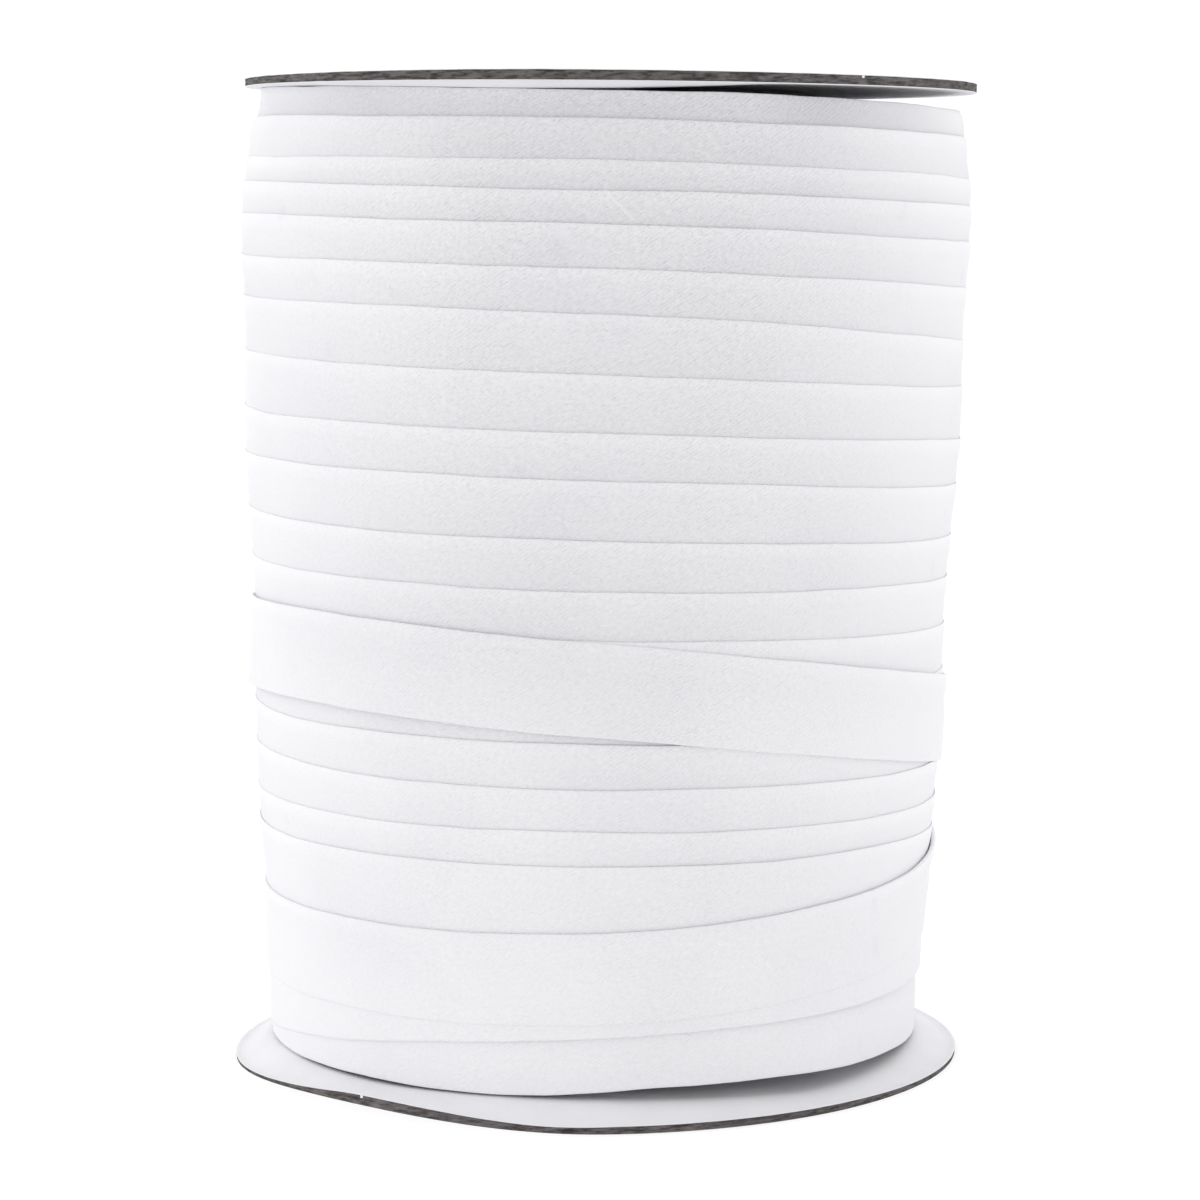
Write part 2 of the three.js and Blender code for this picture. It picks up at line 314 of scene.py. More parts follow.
def bandLift(place, edge):
    # how far a band's lower or upper edge stands off the barrel
    return throughKnots([(bandsStart + row[0], row[edge]) for row in lastBands], place)


def bandFace(place, across):
    lower, upper = bandLift(place, lowerLift), bandLift(place, upperLift)
    return upper + (lower - upper) * across / tape["width"]


def bandShare(place):
    # 0 on the wound turns, 1 on the bands that show their full width
    start, end = tape["bandsGrow"]
    return smoothStep(bandsStart + start, bandsStart + end, place)


def tapeFace(place, across):
    band = bandShare(place)
    return shingledFace(place, across) * (1 - band) + bandFace(place, across) * band


def tapeThickness(place):
    # the folded layers fill the step down to the turn beneath
    turns = np.maximum(pressedStep(place) - tape["turnGap"], tape["leastThickness"])
    band = bandShare(place)
    loose = np.maximum(bandLift(place, upperLift) - tape["looseFrom"], 0)
    layers = tape["layers"] + tape["looseness"] * loose
    return turns * (1 - band) + layers * band


def tapeSection():
    # points round the folded tape: distance from the upper edge, share of the dip
    # where the flap inside ends, and share of the thickness
    fold = tape["edgeRound"]
    lowerFold = tape["width"] - fold
    trough = tape["trough"]
    turns = [math.radians(turn) for turn in tape["edgeTurns"]]
    rows = []
    for across in (fold, *tape["faceRows"], lowerFold):
        dip = math.exp(-(((across - trough["at"]) / trough["half"]) ** 2))
        rows.append((across, dip, 0))
    for a in turns:
        rows.append((lowerFold + fold * math.sin(a), 0, (1 - math.cos(a)) / 2))
    for across in (lowerFold, *tape["backRows"], fold):
        rows.append((across, 0, 1))
    for a in turns[::-1]:
        rows.append((fold - fold * math.sin(a), 0, (1 - math.cos(a)) / 2))
    return np.array(rows)


def layTapeMaps(piece, points, section, place, across):
    # lengthways and across, in metres, for the weave, and the share that shows
    count, columns = across.shape
    ring = np.linalg.norm(np.diff(points[:, 0], axis=0), axis=1)
    along = np.concatenate([[0], np.cumsum(ring)]) * mm
    outline = np.c_[section[:, 0], section[:, 2] * tape["foldSide"]]
    edge = np.linalg.norm(np.diff(np.vstack([outline, outline[:1]]), axis=0), axis=1)
    around = np.concatenate([[0], np.cumsum(edge)]) * mm
    shown = shownShare(place, across) * (1 - bandShare(place))
    shown = np.clip(shown, 0, tape["shownLimit"])
    down = across / tape["width"]
    r, c = np.meshgrid(np.arange(count - 1), np.arange(columns), indexing="ij")
    corners = [(r, c + 1), (r + 1, c + 1), (r + 1, c), (r, c)]
    cloth = [np.stack([along[i], around[j]], -1) for i, j in corners]
    lay = [np.stack([shown[i, j % columns], down[i, j % columns]], -1) for i, j in corners]
    ends = np.zeros((2 * columns, 2))
    ends[:, 1] = np.tile(section[:, 0], 2) * mm
    for name, values in (("tapeCloth", cloth), ("tapeLay", lay)):
        flat = np.stack(values, 2).reshape(-1, 2)
        layer = piece.data.uv_layers.new(name=name)
        layer.data.foreach_set("uv", np.vstack([flat, ends]).ravel())
    print(f"bias tape: {count} sections, {along[-1]:.2f} m of tape shows")


def buildTape():
    section = tapeSection()
    end = bandsStart + lastBands[-1][0]
    count = int(round((end - tape["startAt"]) / tape["stepDegrees"])) + 1
    places = np.linspace(tape["startAt"], end, count)
    place = places[:, None] + np.zeros(len(section))
    across = section[:, 0][None, :] + np.zeros((count, 1))
    height = upperEdge(place) - across
    trough = tape["trough"]
    troughDepth = trough["onTurns"] + trough["onBands"] * bandShare(place)
    troughDepth = troughDepth + wander(place, *tape["troughWander"])
    radius = barrelRadius(height) + tapeFace(place, across)
    radius -= section[:, 1] * troughDepth + section[:, 2] * tapeThickness(place)
    points = aroundPack(place, radius, height)
    columns = len(section)
    faces = gridFaces(count, columns)[:, ::-1].tolist()
    total = count * columns
    faces.append(list(range(columns))[::-1])
    faces.append(list(range(total - columns, total)))
    piece = meshObject("bias_tape", points.reshape(-1, 3), faces)
    layTapeMaps(piece, points, section, place, across)
    return piece


# The two card discs, whose rims stand away from the pack

board = {
    "lowerRadius": 53,
    "lowerThickness": 1.05,
    "upperRadius": 52.5,
    "upperThickness": 1.5,
    "upperHeight": 140.15,
    "upperShift": 3.4,
    "upperTilt": 1.0,
    "middleRadius": 30,
    "lowerBend": 46,
    "upperBend": 49.3,
    # angle: how far the lower disc rises from its rim to its middle
    "lowerDome": [
        (0, 2.0), (90, 2.2), (150, 2.7), (180, 2.8), (200, 2.5), (213, 1.6), (226, 1.15),
        (236, 1.25), (246, 1.75), (258, 2.25), (269, 2.3), (277, 2.0), (284, 1.75), (296, 1.25),
        (309, 0.6), (325, 0.8), (345, 1.6), (360, 2.0),
    ],
    # angle: how far the upper disc sinks from its rim to the pack
    "upperDish": [
        (0, 0.0), (90, 0.2), (180, 0.1), (205, 0.3), (217, 0.45), (227, 0.65), (237, 0.8),
        (253, 1.05), (270, 0.9), (277, 0.7), (286, 0.4), (293, 0.12), (300, 0.0), (360, 0.0),
    ],
    # angle: the height of the lower disc's cut edge, as a share of its thickness; its
    # layers have come apart where the rim curls up
    "lowerEdge": [
        (0, 0.6), (90, 0.8), (180, 0.5), (205, 0.5), (216, 0.65), (223, 0.95), (230, 1.4),
        (236, 1.5), (244, 1.4), (254, 1.15), (263, 0.95), (275, 1.1), (310, 1.05), (330, 0.75),
        (360, 0.6),
    ],
    # angle: the same for the upper disc
    "upperEdge": [
        (0, 0.85), (90, 0.9), (180, 0.75), (205, 0.78), (230, 0.9), (260, 1.0), (360, 0.85),
    ],
    "wornFrom": 48,          # radius from which the edge's height counts
    "lowerMiddle": 2.0,
    "upperMiddle": 0.1,
    # where the paper is torn down over the edge: angle, width, share of the height
    "upperNicks": [(309.4, 0.5, 0.3), (121, 0.5, 0.5), (35, 0.9, 0.3)],
    "lowerNicks": [(232.4, 0.5, 0.3), (150, 0.5, 0.5), (62, 0.9, 0.3)],
    "curl": {"rise": 1.7, "middle": 226, "halfSpan": 46},
    "middleEase": 0.5,       # where the bends start and end, by the middle and the rim
    "rimEase": 0.3,
    "columns": 720,
    "faceRadii": [
        2, 8, 15, 22, 30, 36, 40, 43, 45, 46, 47, 48, 49, 49.5, 50, 50.5, 51, 51.5, 52,
    ],
    "rimInset": 0.35,        # of the last ring on a face
    # the cut edge: rows as a share of the height, and how rough it is
    "edgeRows": (0.84, 0.7, 0.54, 0.38, 0.24, 0.14),
    "edgeCorner": 0.12,      # insets of the corner, of the rows and of the edge's start
    "edgeInset": 0.06,
    "edgeStart": 0.02,
    "edgeStartShare": 0.06,
    "burr": 0.05,
    "burrLift": (0.6, 0.4),
    "outlineWander": (0.04, (120, 72, 360 / 11)),
    "coarsePeriods": (360 / 7, 360 / 13, 360 / 23, 360 / 41),
    "finePeriods": (360 / 97, 360 / 131, 360 / 173, 360 / 229),
    "coarseRoughness": 0.03,
    "fineRoughness": 0.04,
    "seeds": {"upper": 71, "lower": 41, "burr": 1, "fine": 10, "coarse": 30},
}


def aroundDisc(knots, angle):
    return throughKnots(knots, np.mod(angle, 360))


def bentDisc(rim, middle, bend, radius, r):
    # a bend near the rim, eased to an even height in the middle
    inward = 1 - smoothStep(bend, radius - board["rimEase"], r)
    centre = 1 - smoothStep(board["middleRadius"] * board["middleEase"], bend, r)
    return rim * inward * (1 - centre) + middle * centre


def lowerRise(angle, r):
    curl = board["curl"]
    turn = np.minimum(np.abs(np.mod(angle, 360) - curl["middle"]) / curl["halfSpan"], 1)
    out = smoothStep(board["middleRadius"], board["lowerRadius"], r)
    lift = curl["rise"] * np.cos(turn * np.pi / 2) ** 2 * out
    dome = aroundDisc(board["lowerDome"], angle)
    return lift + bentDisc(dome, board["lowerMiddle"], board["lowerBend"], board["lowerRadius"], r)


def upperRise(angle, r):
    dish = aroundDisc(board["upperDish"], angle)
    return -bentDisc(dish, board["upperMiddle"], board["upperBend"], board["upperRadius"], r)


def wornThickness(thickness, edge, radius, angle, r):
    worn = 1 - aroundDisc(edge, angle)
    return thickness * (1 - worn * smoothStep(board["wornFrom"], radius, r))


def lowerThickness(angle, r):
    edge = board["lowerEdge"]
    return wornThickness(board["lowerThickness"], edge, board["lowerRadius"], angle, r)


def upperThickness(angle, r):
    edge = board["upperEdge"]
    return wornThickness(board["upperThickness"], edge, board["upperRadius"], angle, r)


def upperUnderside(angle, r):
    x = r * np.cos(np.radians(angle))
    tilt = math.tan(math.radians(board["upperTilt"]))
    return board["upperHeight"] - tilt * (x - board["upperShift"]) + upperRise(angle, r)


def discRings(radius, angle, seed):
    # rings over the top face, down the cut edge and back under the bottom face: the
    # radius, the share of the thickness and the lift of each
    coarse, fine = board["coarsePeriods"], board["finePeriods"]
    flat = 0 * angle
    seeds = board["seeds"]
    rim = radius + wander(angle, *board["outlineWander"], seed)
    burr = board["burr"] * np.abs(wander(angle, 1, coarse, seed + seeds["burr"]))
    cornerLift, startLift = board["burrLift"]
    start, corner = board["edgeStart"], board["edgeCorner"]
    startShare = board["edgeStartShare"]
    faceRadii = board["faceRadii"] + [radius - board["rimInset"]]
    rings = [(r + flat, 1, flat) for r in faceRadii]
    rings.append((rim - corner, 1, burr * cornerLift))
    rings.append((rim - start + burr, 1 - startShare, burr * startLift))
    for row, share in enumerate(board["edgeRows"]):
        rough = wander(angle, board["fineRoughness"], fine, seed + seeds["fine"] + row)
        rough = rough + wander(angle, board["coarseRoughness"], coarse, seed + seeds["coarse"] + row)
        rings.append((rim - board["edgeInset"] + rough, share, flat))
    rings.append((rim - start, startShare, flat))
    rings.append((rim - corner, 0, flat))
    rings += [(r + flat, 0, flat) for r in faceRadii[::-1]]
    return rings, len(faceRadii) + 1


def buildDisc(name, radius, thicknessAt, riseAt, nicks, seed):
    columns = board["columns"]
    angle = np.arange(columns) * 360 / columns
    rings, wallStart = discRings(radius, angle, seed)
    a = np.radians(angle)
    points = []
    for r, share, lift in rings:
        height = riseAt(angle, r) + share * thicknessAt(angle, r) + lift
        points.append(np.stack([r * np.cos(a), r * np.sin(a), height], -1))
    faces = gridFaces(len(rings), columns).tolist()
    total = len(rings) * columns
    faces.append(list(range(columns)))
    faces.append(list(range(total - columns, total))[::-1])
    piece = meshObject(name, np.concatenate(points), faces)
    # slot 1 is the bare cut edge, between the papers of the two faces
    wallRows = len(board["edgeRows"]) + 1
    wallEnd = wallStart + wallRows
    index = np.zeros(len(piece.data.polygons), np.int32)
    index[wallStart * columns:wallEnd * columns] = 1
    for at, wide, deep in nicks:
        near = np.flatnonzero(np.abs(angle - at) < wide / 2)
        for row in range(int(round(wallRows * deep))):
            index[(wallStart + row) * columns + near] = 0
    piece.data.polygons.foreach_set("material_index", index)
    return piece


def buildUpperDisc():
    piece = buildDisc("upper_disc", board["upperRadius"], upperThickness, upperRise,
                      board["upperNicks"], board["seeds"]["upper"])
    tilt = Matrix.Rotation(math.radians(board["upperTilt"]), 4, "Y")
    move = Matrix.Translation((board["upperShift"] * mm, 0, board["upperHeight"] * mm))
    piece.data.transform(move @ tilt)
    return piece


def buildLowerDisc():
    return buildDisc("lower_disc", board["lowerRadius"], lowerThickness, lowerRise,
                     board["lowerNicks"], board["seeds"]["lower"])


# The pack inside the outer turns, which shows only by the discs, as edges greyed with painted shade

innerTurns = {
    "inset": 2.2,            # how far they lie inside the barrel
    "columns": 180,
    "seatRadius": 28,
    "seatGap": 0.15,
    "shoulderRadius": 43,
    # angle: height of the upper and the lower end
    "top": [(0, 135.9), (90, 138.4), (180, 139.8), (270, 138.0), (360, 135.9)],
    "foot": [(0, 2.6), (90, 3.1), (180, 3.8), (270, 3.6), (360, 2.6)],
    # the outer edge: how far it falls short of the ends, and where it looks for the discs
    "topShort": 0.4,
    "footShort": 0.9,
    "topReach": 48,
    "footReach": 45,
    "rows": (0, 0.02, 0.2, 0.4, 0.6, 0.8, 0.98, 1),
}


def buildInnerTurns():
    columns = innerTurns["columns"]
    angle = np.arange(columns) * 360 / columns
    gap = innerTurns["seatGap"]
    rise = pack["rise"]
    top = throughKnots(innerTurns["top"], angle)
    foot = throughKnots(innerTurns["foot"], angle)

    def under(r):
        return upperUnderside(angle, r + 0 * angle) - gap - rise

    def over(r):
        return lowerRise(angle, r + 0 * angle) + board["lowerThickness"] + gap - rise

    def ring(r, height):
        return aroundPack(angle, r + 0 * angle, height)

    seat = innerTurns["seatRadius"]
    shoulder = innerTurns["shoulderRadius"]
    outerTop = np.minimum(top - innerTurns["topShort"], under(innerTurns["topReach"]))
    outerFoot = np.maximum(foot + innerTurns["footShort"], over(innerTurns["footReach"]))
    rings = [ring(seat, under(seat)), ring(shoulder, np.minimum(top, under(shoulder)))]
    for share in innerTurns["rows"]:
        height = outerTop + share * (outerFoot - outerTop)
        rings.append(ring(barrelRadius(height) - innerTurns["inset"], height))
    rings.append(ring(shoulder, np.maximum(foot, over(shoulder))))
    rings.append(ring(seat, over(seat)))
    points = np.concatenate(rings)
    faces = gridFaces(len(rings), columns).tolist()
    faces.append(list(range(columns)))
    faces.append(list(range(len(points) - columns, len(points)))[::-1])
    return meshObject("inner_turns", points, faces)


biasTape = buildTape()
innerPack = buildInnerTurns()
upperDisc = buildUpperDisc()
lowerDisc = buildLowerDisc()
print("pieces built")


# Materials

class NodeSketch:
    # adds nodes to a tree and joins them by name of input
    def __init__(self, owner):
        owner.use_nodes = True
        self.tree = owner.node_tree
        self.shader = self.tree.nodes.get("Principled BSDF")

    def node(self, kind, settings=None, **inputs):
        made = self.tree.nodes.new(kind)
        for key, value in (settings or {}).items():
            setattr(made, key, value)
        for key, value in inputs.items():
            self.feed(made, key, value)
        return made

    def feed(self, node, key, value):
        index = int(key[1:]) if key[0] == "i" and key[1:].isdigit() else key.replace("_", " ")
        target = node.inputs[index]
        if isinstance(value, bpy.types.NodeSocket):
            self.tree.links.new(value, target)
        else:
            target.default_value = value

    def maths(self, operation, first, second=0.0, third=0.0):
        node = self.node("ShaderNodeMath", {"operation": operation}, i0=first, i1=second, i2=third)
        return node.outputs[0]

    def mixColour(self, share, first, second):
        node = self.node("ShaderNodeMix", {"data_type": "RGBA"}, i0=share, i6=first, i7=second)
        return node.outputs[2]

    def noise(self, vector, scale, detail=3.0, roughness=0.55):
        node = self.node("ShaderNodeTexNoise", None, Vector=vector, Scale=scale, Detail=detail,
                         Roughness=roughness)
        return node.outputs[0]

    def ramp(self, value, low, high):
        node = self.node("ShaderNodeMapRange", {"clamp": True}, Value=value, i1=low, i2=high)
        return node.outputs[0]

    def bump(self, height, distance, strength):
        node = self.node("ShaderNodeBump", None, Height=height, Distance=distance,
                         Strength=strength)
        return node.outputs[0]

    def plain(self, **values):
        # sets the shader's own sockets
        for key, value in values.items():
            self.shader.inputs[key.replace("_", " ")].default_value = value


tapeCloth = {
    "colour": (0.832, 0.827, 0.852, 1),
    # the colour of the painted highlight on each turn's fold and along the crease, and of the
    # painted light on the turns by the foot
    "paintedLight": (0.885, 0.88, 0.905, 1),
    "coolTint": (0.73, 0.73, 0.81, 1),
    # the colour of the weave's dark threads, the blots and spots, and of all the painted shade
    "shade": (0.50, 0.495, 0.53, 1),
    "roughness": 0.9,
    "sheen": 0.2,
    "sheenRoughness": 0.5,
    "specular": 0.2,
    # the weave; each noise is its scale, detail and roughness
    "threadPitch": 0.00045,
    "threadAngle": 34,
    "risingThreads": 0.64,      # the share of the family that rises to the right
    "wobble": 5.0,
    "wobbleNoise": (330.0, 2.0),
    "strokes": 3.2,             # threads that stand up
    "strokeNoise": (1.4, 2.0, 0.6),
    "strokeStretch": 0.4,
    "grain": 1.4,
    "grainNoise": (1700.0, 2.0, 0.6),
    "latticePatches": (60.0, 0.32, 0.68),
    "latticeShows": (0.34, 0.08),   # the most above the least, and the least
    "weaveHeight": 0.00007,
    "weaveBump": 0.8,
    "weaveShade": 0.17,
    "weaveMean": 0.3,
    # where the threads are clearest, in metres, and how clear they are
    "middle": (0.047, 0.018),
    "upper": (0.015, 0.12),
    "upperClear": (0.75, 0.35),
    "leastClear": 0.25,
    # painted shade towards the next turn's edge, in patches and more so higher up
    "lapShade": 0.12,
    "lapRange": (0.3, 1.0),
    "lapNoise": 45.0,
    "lapPatchy": (1.4, 0.3),
    "lapByHeight": (0.8, 0.4),
    # painted shade near the upper disc
    "topShade": 0.24,
    "topRange": (0.116, 0.139),
    "topSides": ((-0.047, -0.018), (0.042, 0.029)),
    # and painted shade on the first turn, under the disc's rim
    "leftRimShade": 0.26,
    "leftRim": ((-0.052, -0.036), (-0.014, -0.03)),
    "rightRimShade": 0.42,
    "rightRim": ((0.052, 0.042), (0.022, 0.033)),
    "firstTurn": (0.66, 0.58),      # metres along the tape
    # soft blots and small spots: noise scale, where they start and are full, and detail
    "blotShade": 0.10,
    "blots": (28.0, 0.42, 0.72, 4.0),
    "spotShade": 0.10,
    "spots": (190.0, 0.68, 0.80, 2.0, 0.4),
    "coolPatches": (38.0, 0.5, 0.72),
    "coolShare": 0.32,
    # painted highlight along each turn's upper fold, and painted light on the turns by the foot
    "foldHighlightRange": (0.17, 0.0),       # share of the width, from the upper edge
    "footLightRange": (0.075, 0.022),
    # a crease in one turn on the front, with a painted highlight along it: its ends, right and up,
    # in metres
    "crease": {
        "start": (0.0020, 0.1263), "end": (0.0064, 0.1217), "width": 0.00028,
        "core": 0.3, "fade": 0.0006, "front": (-0.04, -0.045), "strength": 0.55,
    },
}


def clothLattice(s, cloth, along, across):
    # two families of threads, a little uneven
    turn = math.radians(tapeCloth["threadAngle"])
    pitch = tapeCloth["threadPitch"]
    uneven = s.noise(cloth, *tapeCloth["wobbleNoise"])
    uneven = s.maths("MULTIPLY", uneven, tapeCloth["wobble"])
    rows = []
    for side in (1, -1):
        a = s.maths("MULTIPLY", along, math.sin(turn) * 2 * math.pi / pitch)
        b = s.maths("MULTIPLY_ADD", across, side * math.cos(turn) * 2 * math.pi / pitch, uneven)
        rows.append(s.maths("SINE", s.maths("ADD", a, b)))
    rising = tapeCloth["risingThreads"]
    lattice = s.maths("MULTIPLY", rows[0], rising)
    return s.maths("MULTIPLY_ADD", rows[1], 1 - rising, lattice)


def clothWeave(s, cloth, along, across, coordinates):
    # the lattice, short strokes where a thread stands up, and the fuzz over all
    turn = math.radians(tapeCloth["threadAngle"])
    pitch = tapeCloth["threadPitch"]
    acrossThread = s.maths("MULTIPLY", along, math.sin(turn) / pitch)
    acrossThread = s.maths("MULTIPLY_ADD", across, math.cos(turn) / pitch, acrossThread)
    alongThread = s.maths("MULTIPLY", along, math.cos(turn) / pitch)
    alongThread = s.maths("MULTIPLY_ADD", across, -math.sin(turn) / pitch, alongThread)
    alongThread = s.maths("MULTIPLY", alongThread, tapeCloth["strokeStretch"])
    stretched = s.node("ShaderNodeCombineXYZ", None, X=acrossThread, Y=alongThread).outputs[0]
    clear = patchesOf(s, coordinates, tapeCloth["latticePatches"])
    clear = s.maths("MULTIPLY_ADD", clear, *tapeCloth["latticeShows"])
    weave = s.maths("MULTIPLY", clothLattice(s, cloth, along, across), clear)
    for vector, noise, amount in ((stretched, "strokeNoise", "strokes"),
                                  (cloth, "grainNoise", "grain")):
        mark = s.maths("SUBTRACT", s.noise(vector, *tapeCloth[noise]), 0.5)
        weave = s.maths("MULTIPLY_ADD", mark, tapeCloth[amount], weave)
    return weave


def between(s, value, ranges):
    # full only where both ramps are
    return s.maths("MINIMUM", s.ramp(value, *ranges[0]), s.ramp(value, *ranges[1]))


def patchesOf(s, coordinates, patches):
    scale, start, full, *detail = patches
    return s.ramp(s.noise(coordinates, scale, *detail), start, full)


def clothCrease(s, right, back, up):
    # how strong the crease's ridge and its painted highlight are: 0 beside it and on the back
    crease = tapeCloth["crease"]
    start, end = Vector(crease["start"]), Vector(crease["end"])
    length = (end - start).length
    run = (end - start).normalized()
    x = s.maths("SUBTRACT", right, start.x)
    z = s.maths("SUBTRACT", up, start.y)
    travel = s.maths("MULTIPLY_ADD", x, run.x, s.maths("MULTIPLY", z, run.y))
    aside = s.maths("MULTIPLY_ADD", x, -run.y, s.maths("MULTIPLY", z, run.x))
    width, fade = crease["width"], crease["fade"]
    line = s.ramp(s.maths("ABSOLUTE", aside), width, width * crease["core"])
    within = s.maths("MULTIPLY", s.ramp(travel, 0.0, fade), s.ramp(travel, length, length - fade))
    line = s.maths("MULTIPLY", line, within)
    line = s.maths("MULTIPLY", line, s.ramp(back, *crease["front"]))
    return s.maths("MULTIPLY", line, crease["strength"])


def clothShade(s, weave, shown, along, coordinates, upper, right, up):
    # the weave's dark threads, soft blots and small spots, and painted shade where the turn goes
    # under the next one and near the upper disc, the most on the first turn under the overhanging
    # rim, more so on the right
    patchy = s.noise(coordinates, tapeCloth["lapNoise"])
    patchy = s.maths("MULTIPLY_ADD", patchy, *tapeCloth["lapPatchy"])
    lap = s.maths("MULTIPLY", s.ramp(shown, *tapeCloth["lapRange"]), patchy)
    lap = s.maths("MULTIPLY", lap, s.maths("MULTIPLY_ADD", upper, *tapeCloth["lapByHeight"]))
    nearDisc = s.ramp(up, *tapeCloth["topRange"])
    nearDisc = s.maths("MULTIPLY", nearDisc, nearDisc)
    rim = s.maths("MULTIPLY", between(s, right, tapeCloth["leftRim"]), tapeCloth["leftRimShade"])
    rightRim = between(s, right, tapeCloth["rightRim"])
    rim = s.maths("MULTIPLY_ADD", rightRim, tapeCloth["rightRimShade"], rim)
    firstTurn = s.ramp(along, *tapeCloth["firstTurn"])
    rim = s.maths("MULTIPLY", s.maths("MULTIPLY", nearDisc, firstTurn), rim)
    underDisc = s.maths("MULTIPLY", nearDisc, between(s, right, tapeCloth["topSides"]))
    blots = patchesOf(s, coordinates, tapeCloth["blots"])
    spots = patchesOf(s, coordinates, tapeCloth["spots"])
    threads = s.maths("SUBTRACT", tapeCloth["weaveMean"], weave)
    share = s.maths("MULTIPLY_ADD", threads, tapeCloth["weaveShade"], rim)
    for mark, shade in ((lap, "lapShade"), (underDisc, "topShade"), (blots, "blotShade"),
                        (spots, "spotShade")):
        share = s.maths("MULTIPLY_ADD", mark, tapeCloth[shade], share)
    return share


def makeTapeCloth():
    material = bpy.data.materials.new("whiteBiasCloth")
    s = NodeSketch(material)
    cloth = s.node("ShaderNodeUVMap", {"uv_map": "tapeCloth"}).outputs[0]
    lay = s.node("ShaderNodeUVMap", {"uv_map": "tapeLay"}).outputs[0]
    along, across, _ = s.node("ShaderNodeSeparateXYZ", None, Vector=cloth).outputs
    shown, down, _ = s.node("ShaderNodeSeparateXYZ", None, Vector=lay).outputs
    coordinates = s.node("ShaderNodeTexCoord").outputs["Object"]
    right, back, up = s.node("ShaderNodeSeparateXYZ", None, Vector=coordinates).outputs

    # the threads are flattened at the sides and at the foot, where the roll is handled
    middle = s.ramp(s.maths("ABSOLUTE", right), *tapeCloth["middle"])
    upper = s.ramp(up, *tapeCloth["upper"])
    clear = s.maths("MULTIPLY_ADD", upper, *tapeCloth["upperClear"])
    clear = s.maths("MULTIPLY_ADD", clear, middle, tapeCloth["leastClear"])
    weave = s.maths("MULTIPLY", clothWeave(s, cloth, along, across, coordinates), clear)

    cool = patchesOf(s, coordinates, tapeCloth["coolPatches"])
    cool = s.maths("MULTIPLY", s.maths("MULTIPLY", cool, tapeCloth["coolShare"]), middle)
    face = s.mixColour(cool, tapeCloth["colour"], tapeCloth["coolTint"])
    # the turns by the foot, in the middle, are lighter with painted light from below, and each turn
    # has a painted highlight at its fold
    footLight = s.maths("MULTIPLY", s.ramp(up, *tapeCloth["footLightRange"]), middle)
    face = s.mixColour(footLight, face, tapeCloth["paintedLight"])
    face = s.mixColour(s.ramp(down, *tapeCloth["foldHighlightRange"]), face, tapeCloth["paintedLight"])
    share = clothShade(s, weave, shown, along, coordinates, upper, right, up)
    colour = s.mixColour(share, face, tapeCloth["shade"])
    # the crease: a painted highlight in the colour, and a ridge in the bump
    line = clothCrease(s, right, back, up)
    colour = s.mixColour(line, colour, tapeCloth["paintedLight"])
    weave = s.maths("ADD", line, weave)
    s.feed(s.shader, "Base Color", colour)
    s.feed(s.shader, "Normal", s.bump(weave, tapeCloth["weaveHeight"], tapeCloth["weaveBump"]))
    s.plain(Roughness=tapeCloth["roughness"], Sheen_Weight=tapeCloth["sheen"],
            Sheen_Roughness=tapeCloth["sheenRoughness"], Specular_IOR_Level=tapeCloth["specular"])
    return material


packedEdges = {
    # both tones are painted shade on the white cloth: the dark one between the edges, the light one
    # on them
    "dark": (0.45, 0.45, 0.47, 1),
    "light": (0.72, 0.72, 0.74, 1),
    "roughness": 0.95,
    "layerPitch": 0.0009,
    "uneven": (90.0, 0.0012),       # noise scale and distance
    "bump": (0.0002, 0.7),
}


def makePackedEdges():
    # the edges of the turns inside, one behind the other, greyer than the tape's cloth, with darker
    # painted shade between them
    material = bpy.data.materials.new("woundTapeEdges")
    s = NodeSketch(material)
    coordinates = s.node("ShaderNodeTexCoord").outputs["Object"]
    split = s.node("ShaderNodeSeparateXYZ", None, Vector=coordinates)
    x2 = s.maths("POWER", split.outputs[0], 2.0)
    y2 = s.maths("POWER", split.outputs[1], 2.0)
    radius = s.maths("SQRT", s.maths("ADD", x2, y2))
    scale, distance = packedEdges["uneven"]
    radius = s.maths("ADD", radius, s.maths("MULTIPLY", s.noise(coordinates, scale), distance))
    turns = s.maths("MULTIPLY", radius, 2 * math.pi / packedEdges["layerPitch"])
    layers = s.maths("SINE", turns)
    colour = s.mixColour(s.ramp(layers, -1.0, 1.0), packedEdges["dark"], packedEdges["light"])
    s.feed(s.shader, "Base Color", colour)
    s.feed(s.shader, "Normal", s.bump(layers, *packedEdges["bump"]))
    s.plain(Roughness=packedEdges["roughness"])
    return material


boardFinish = {
    "paper": (0.83, 0.825, 0.85, 1),
    "paperSoiled": (0.74, 0.735, 0.76, 1),
    "soilingNoise": (120.0, 5.0),
    "soilingRange": (0.45, 0.8),
    "soiledShare": 0.5,
    "mottleHeight": 2.0,
    "fibreNoise": 1500.0,
    "paperBump": (0.00006, 0.5),
    "paperRoughness": (0.3, 0.6),       # by the mottle, and the least
    "paperSpecular": 0.35,
    # the cut edge
    "core": (0.075, 0.067, 0.065, 1),
    "coreLight": (0.19, 0.178, 0.175, 1),
    "coreDark": (0.022, 0.019, 0.018, 1),
    "coreLayers": 6.0,
    "coreNoise": (420.0, 5.0, 0.7),
    "lightRange": (0.42, 0.68),
    "darkRange": (0.5, 0.3),
    "evenPatches": (55.0, 0.5, 0.75),   # noise scale, and where they start and are full
    "evenShare": 0.6,
    "coreBump": (0.00025, 0.9),
    "coreRoughness": 0.95,
}


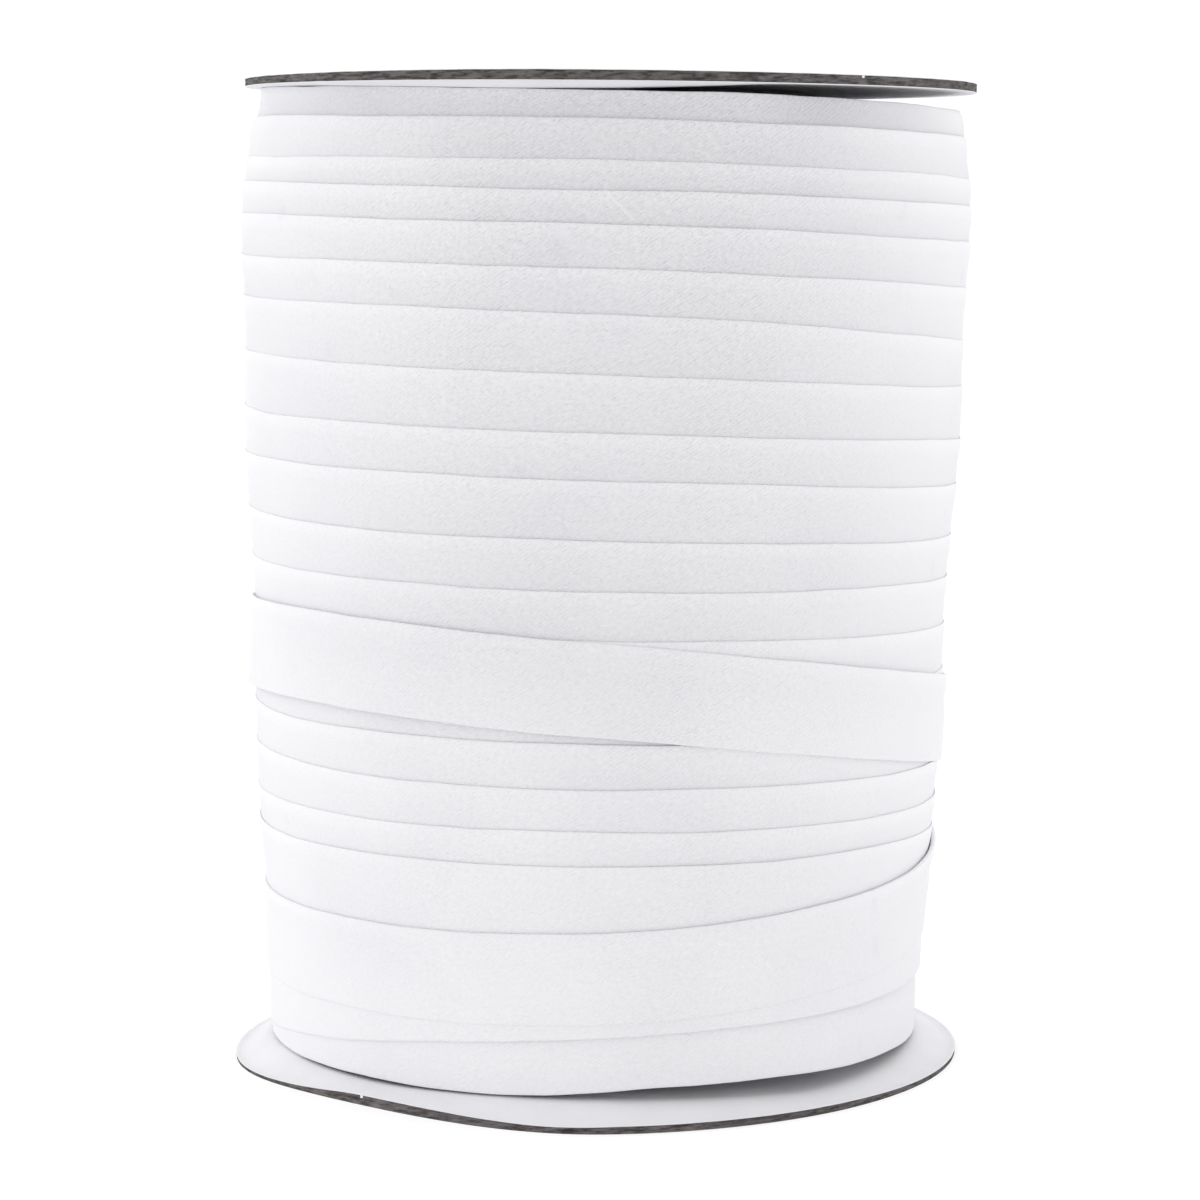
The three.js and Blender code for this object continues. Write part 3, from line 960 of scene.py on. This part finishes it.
def makeBoardPaper():
    material = bpy.data.materials.new("whiteBoardPaper")
    s = NodeSketch(material)
    coordinates = s.node("ShaderNodeTexCoord").outputs["Object"]
    mottle = s.noise(coordinates, *boardFinish["soilingNoise"])
    fibre = s.noise(coordinates, boardFinish["fibreNoise"])
    soiled = s.ramp(mottle, *boardFinish["soilingRange"])
    share = s.maths("MULTIPLY", soiled, boardFinish["soiledShare"])
    colour = s.mixColour(share, boardFinish["paper"], boardFinish["paperSoiled"])
    height = s.maths("MULTIPLY_ADD", mottle, boardFinish["mottleHeight"], fibre)
    s.feed(s.shader, "Base Color", colour)
    s.feed(s.shader, "Normal", s.bump(height, *boardFinish["paperBump"]))
    rough = s.maths("MULTIPLY_ADD", mottle, *boardFinish["paperRoughness"])
    s.feed(s.shader, "Roughness", rough)
    s.plain(Specular_IOR_Level=boardFinish["paperSpecular"])
    return material


def makeBoardCore():
    material = bpy.data.materials.new("greyBoardCutEdge")
    s = NodeSketch(material)
    coordinates = s.node("ShaderNodeTexCoord").outputs["Object"]
    stretch = (1.0, 1.0, boardFinish["coreLayers"])
    layered = s.node("ShaderNodeMapping", None, Vector=coordinates, Scale=stretch).outputs[0]
    fibres = s.noise(layered, *boardFinish["coreNoise"])
    core = boardFinish["core"]
    light = s.mixColour(s.ramp(fibres, *boardFinish["lightRange"]), core, boardFinish["coreLight"])
    dark = s.mixColour(s.ramp(fibres, *boardFinish["darkRange"]), light, boardFinish["coreDark"])
    even = patchesOf(s, coordinates, boardFinish["evenPatches"])
    colour = s.mixColour(s.maths("MULTIPLY", even, boardFinish["evenShare"]), dark, core)
    s.feed(s.shader, "Base Color", colour)
    s.feed(s.shader, "Normal", s.bump(fibres, *boardFinish["coreBump"]))
    s.plain(Roughness=boardFinish["coreRoughness"])
    return material


clothMaterial = makeTapeCloth()
edgesMaterial = makePackedEdges()
paperMaterial = makeBoardPaper()
coreMaterial = makeBoardCore()
biasTape.data.materials.append(clothMaterial)
innerPack.data.materials.append(edgesMaterial)
for disc in (upperDisc, lowerDisc):
    disc.data.materials.append(paperMaterial)
    disc.data.materials.append(coreMaterial)
print("materials made")


# Floor and lights

studio = {
    "floorSize": 6.0,
    "floorColour": (0.4, 0.4, 0.4, 1),
    "floorGlow": 0.66,          # the white table is lit through from below
    "floorRoughness": 0.9,
    "floorSpecular": 0.1,
    "white": (1, 1, 1, 1),
    "aim": (0.0, 0.0, 0.07),
}

# the white room: axis, side and brightness of each soft wall
room = {
    "left": ("X", -1, 1.93),
    "right": ("X", 1, 1.50),
    "front": ("Y", -1, 0.565),
    "back": ("Y", 1, 1.04),
    "above": ("Z", 1, 0.70),
}

# soft lights, which all face the roll: place, size and watts
softLights = {
    "rightSoftbox": ((0.95, 0.1, 0.35), 0.7, 0.3),
    "overheadSoftbox": ((0.0, 0.1, 1.4), 1.2, 1.5),
}


def layFloor():
    half = studio["floorSize"] / 2 / mm
    points = np.array([(-half, -half, 0), (half, -half, 0), (half, half, 0), (-half, half, 0)])
    floor = meshObject("studioFloor", points, [[0, 1, 2, 3]], smooth=False)
    material = bpy.data.materials.new("paleFloor")
    s = NodeSketch(material)
    s.plain(Base_Color=studio["floorColour"], Emission_Color=studio["white"],
            Emission_Strength=studio["floorGlow"], Roughness=studio["floorRoughness"],
            Specular_IOR_Level=studio["floorSpecular"])
    floor.data.materials.append(material)


def lightRoom():
    world = bpy.data.worlds.new("whiteRoom")
    bpy.context.scene.world = world
    s = NodeSketch(world)
    direction = s.node("ShaderNodeTexCoord").outputs["Generated"]
    split = s.node("ShaderNodeSeparateXYZ", None, Vector=direction)
    total = 0.0
    for axis, side, brightness in room.values():
        facing = s.maths("MAXIMUM", s.maths("MULTIPLY", split.outputs[axis], side), 0.0)
        share = s.maths("MULTIPLY", facing, facing)
        total = s.maths("MULTIPLY_ADD", share, brightness, total)
    background = s.tree.nodes["Background"]
    background.inputs["Color"].default_value = studio["white"]
    s.feed(background, "Strength", total)


def setSoftLights():
    aim = Vector(studio["aim"])
    for name, (place, size, watts) in softLights.items():
        data = bpy.data.lights.new(name, "AREA")
        data.shape = "SQUARE"
        data.size = size
        data.energy = watts
        light = bpy.data.objects.new(name, data)
        bpy.context.scene.collection.objects.link(light)
        light.location = place
        light.rotation_euler = (aim - Vector(place)).to_track_quat("-Z", "Y").to_euler()


layFloor()
lightRoom()
setSoftLights()
bpy.context.scene.view_settings.view_transform = "Standard"
print("studio set")

# What each piece rides on and stands for

for piece in (biasTape, innerPack, upperDisc, lowerDisc):
    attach(piece, body)
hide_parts("wound_bias_tape")
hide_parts("wound_bias_tape")
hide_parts("spool_disc_upper")
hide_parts("spool_disc_lower")
